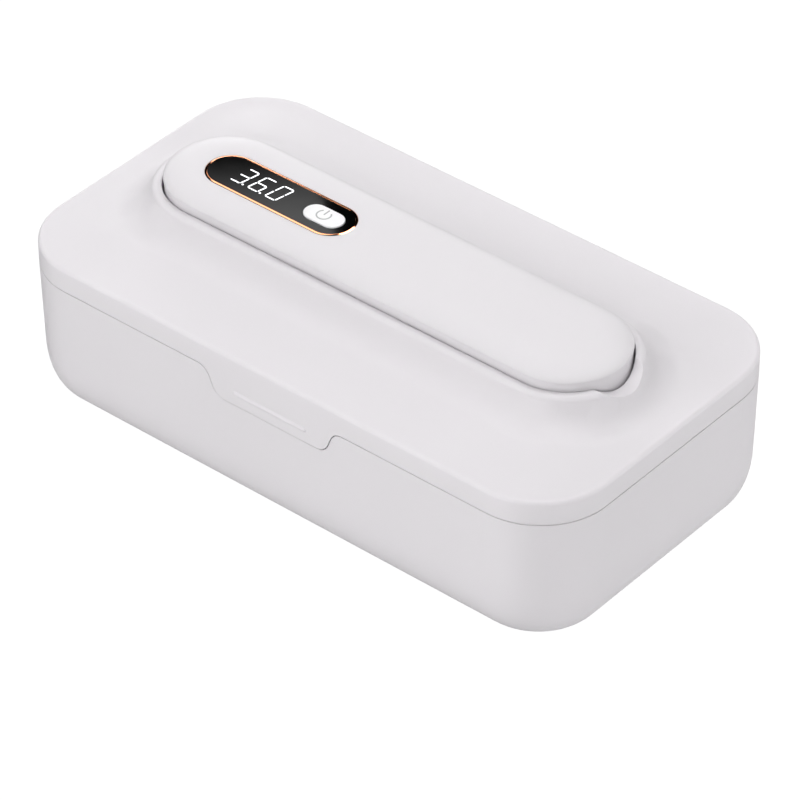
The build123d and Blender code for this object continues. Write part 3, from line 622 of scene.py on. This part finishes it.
led_skins = ["led_ceramic", "quartz_clear", "chip_gold"]
lamps = piece("lamp_emitters", emitters, led_skins, "wand", 40)
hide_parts("uv_leds")


# ---------------------------------------------------------------- floor and surround
# Both are paper-white, show to the camera only and from their inner side only. The light that
# they would throw back comes from the world's lower half and the two bounce softboxes.
paper = Surface("studio_white", Roughness=0.9, Specular_IOR_Level=0.0, Emission_Strength=1.0)
fibres = paper.noise(5, 3)
paper.colour(paper.ramp(fibres, (0.05, 0.05, 0.05), (0.06, 0.06, 0.06)))
paper.glow(paper.ramp(fibres, (0.985, 0.985, 0.99), (1.0, 1.0, 1.0)))
from_behind = paper.add("ShaderNodeNewGeometry").outputs["Backfacing"]
clear = paper.add("ShaderNodeBsdfTransparent").outputs[0]
one_sided = paper.add("ShaderNodeMixShader", Fac=from_behind)
paper.plug(paper.shader.outputs[0], one_sided.inputs[1])
paper.plug(clear, one_sided.inputs[2])
paper.plug(one_sided.outputs[0], paper.tree.nodes["Material Output"].inputs["Surface"])

REACH = 8.0
FLOOR_Z = -0.05 * MM  # just under the feet


def stage(name, mesh):
    mesh.materials.append(paper.material)
    thing = bpy.data.objects.new(name, mesh)
    scene.collection.objects.link(thing)
    thing.visible_diffuse = False
    thing.visible_glossy = False
    thing.visible_shadow = False


floor_mesh = bpy.data.meshes.new("floor")
floor_mesh.from_pydata([(x * REACH, y * REACH, FLOOR_Z) for x, y in SQUARE], [], [(0, 1, 2, 3)])
stage("floor", floor_mesh)
surround_mesh = bpy.data.meshes.new("surround")
surround = bmesh.new()
bmesh.ops.create_icosphere(surround, subdivisions=3, radius=REACH)
bmesh.ops.reverse_faces(surround, faces=surround.faces)
surround.to_mesh(surround_mesh)
surround.free()
stage("surround", surround_mesh)


# ---------------------------------------------------------------- light
def ramp_emission(tree, node, factor, *stops):
    """Sets a light's level by a soft ramp."""
    ramp = tree.nodes.new("ShaderNodeValToRGB")
    ramp.color_ramp.interpolation = "EASE"
    while len(ramp.color_ramp.elements) < len(stops):
        ramp.color_ramp.elements.new(0.5)
    for element, (place, level) in zip(ramp.color_ramp.elements, stops):
        element.position = place
        element.color = (level, level, level, 1)
    tree.links.new(factor, ramp.inputs["Fac"])
    tree.links.new(ramp.outputs["Color"], node.inputs["Color"])


def height_of(tree, lowest):
    """How high a direction or place is, from 0 at the lowest to 1."""
    parts = tree.nodes.new("ShaderNodeSeparateXYZ")
    tree.links.new(tree.nodes.new("ShaderNodeTexCoord").outputs["Generated"], parts.inputs[0])
    span = tree.nodes.new("ShaderNodeMapRange")
    span.inputs["From Min"].default_value = lowest
    tree.links.new(parts.outputs["Z"], span.inputs["Value"])
    return span.outputs["Result"]


def direction(azimuth, elevation):
    """Azimuth 0 is in front of the object (-Y), 90 on its right (+X)."""
    a, e = math.radians(azimuth), math.radians(elevation)
    return Vector((math.sin(a) * math.cos(e), -math.cos(a) * math.cos(e), math.sin(e)))


FLOOR_LEVEL = 0.32  # of the light thrown back by the floor, below the horizon
HORIZON = (0.47, 0.53)  # where that light begins to fade and where it ends, from 0 straight down to 1
world = bpy.data.worlds.new("world")
world.use_nodes = True
sky = world.node_tree
sky_stops = ((0.0, FLOOR_LEVEL), (HORIZON[0], FLOOR_LEVEL), (HORIZON[1], 0.0))
ramp_emission(sky, sky.nodes["Background"], height_of(sky, -1), *sky_stops)
scene.world = world

# The softboxes are flagged off the polished display window, so that no view shows it washed out.
flagged = bpy.data.collections.new("flagged")
flagged.objects.link(nodes["display_window"])
for entry in flagged.collection_objects:
    entry.light_linking.link_state = "EXCLUDE"

AIM = Vector((0, 0, 0.04))
SOFTBOX_DISTANCE = 1.6
for name, azimuth, elevation, size, watts in (
    ("high_front", 0, 58, 0.8, 5.2),
    ("high_back", 180, 58, 0.8, 10.5),
    ("high_back_left", 240, 58, 0.8, 4.4),
    ("low_front", 0, 25, 0.8, 6.1),
    ("low_front_right", 45, 25, 0.8, 7.5),
    ("low_back_right", 135, 25, 0.8, 4.0),
    ("low_front_left", 315, 25, 0.8, 4.9),
    ("low_back_left", 225, 13, 0.6, 6.4),
    ("bounce_front", 0, -20, 0.8, 4.8),
    ("bounce_right", 120, -20, 0.8, 11.4),
):
    data = bpy.data.lights.new(name, "AREA")
    data.shape = "DISK"
    data.size = size
    data.energy = watts
    lamp = bpy.data.objects.new(name, data)
    scene.collection.objects.link(lamp)
    outward = direction(azimuth, elevation)
    lamp.location = AIM + outward * SOFTBOX_DISTANCE
    lamp.rotation_mode = "QUATERNION"
    lamp.rotation_quaternion = (-outward).to_track_quat("-Z", "Y")
    lamp.visible_camera = False
    lamp.light_linking.receiver_collection = flagged

# A tall card behind the object, which the polished display mirrors; its light fades towards its lower edge.
CARD_MIDDLE = Vector((-0.8896, 0.9929, 0.07185))
CARD_ALONG = Vector((0.7631, 0.6463, 0))
CARD_CORNERS = ((-0.5, 0.896), (-0.024, 0.896), (0.092, 1.296), (-0.5, 1.296))  # metres along it and up
CARD_HEIGHT = 0.4
CARD_FADE = 0.06
CARD_STRENGTH = 1.35
card_skin = bpy.data.materials.new("card")
card_skin.use_nodes = True
card_tree = card_skin.node_tree
card_tree.nodes.remove(card_tree.nodes["Principled BSDF"])
card_glow = card_tree.nodes.new("ShaderNodeEmission")
card_glow.inputs["Strength"].default_value = CARD_STRENGTH
card_tree.links.new(card_glow.outputs[0], card_tree.nodes["Material Output"].inputs["Surface"])
ramp_emission(card_tree, card_glow, height_of(card_tree, 0), (0.0, 0.0), (CARD_FADE / CARD_HEIGHT, 1.0))
card_mesh = bpy.data.meshes.new("card")
card_points = [CARD_MIDDLE + CARD_ALONG * a + Vector((0, 0, up)) for a, up in CARD_CORNERS]
card_mesh.from_pydata(card_points, [], [(0, 1, 2, 3)])
card_mesh.materials.append(card_skin)
card = bpy.data.objects.new("card", card_mesh)
scene.collection.objects.link(card)
card.visible_camera = False
card.visible_shadow = False


# ---------------------------------------------------------------- camera
CAMERA_TARGET = Vector((0.0128153, -0.0148048, 0.0261397))
CAMERA_AZIMUTH, CAMERA_ELEVATION = 40.2601, 37.9823
CAMERA_DISTANCE = 1.541633
CAMERA_ROLL = math.radians(-0.27215)
camera = bpy.data.objects.new("camera", bpy.data.cameras.new("camera"))
scene.collection.objects.link(camera)
outward = direction(CAMERA_AZIMUTH, CAMERA_ELEVATION)
camera.location = CAMERA_TARGET + outward * CAMERA_DISTANCE
camera.rotation_mode = "QUATERNION"
camera.rotation_quaternion = Quaternion(outward, CAMERA_ROLL) @ (-outward).to_track_quat("-Z", "Y")
camera.data.sensor_width = 36
camera.data.lens = 218.90
scene.camera = camera
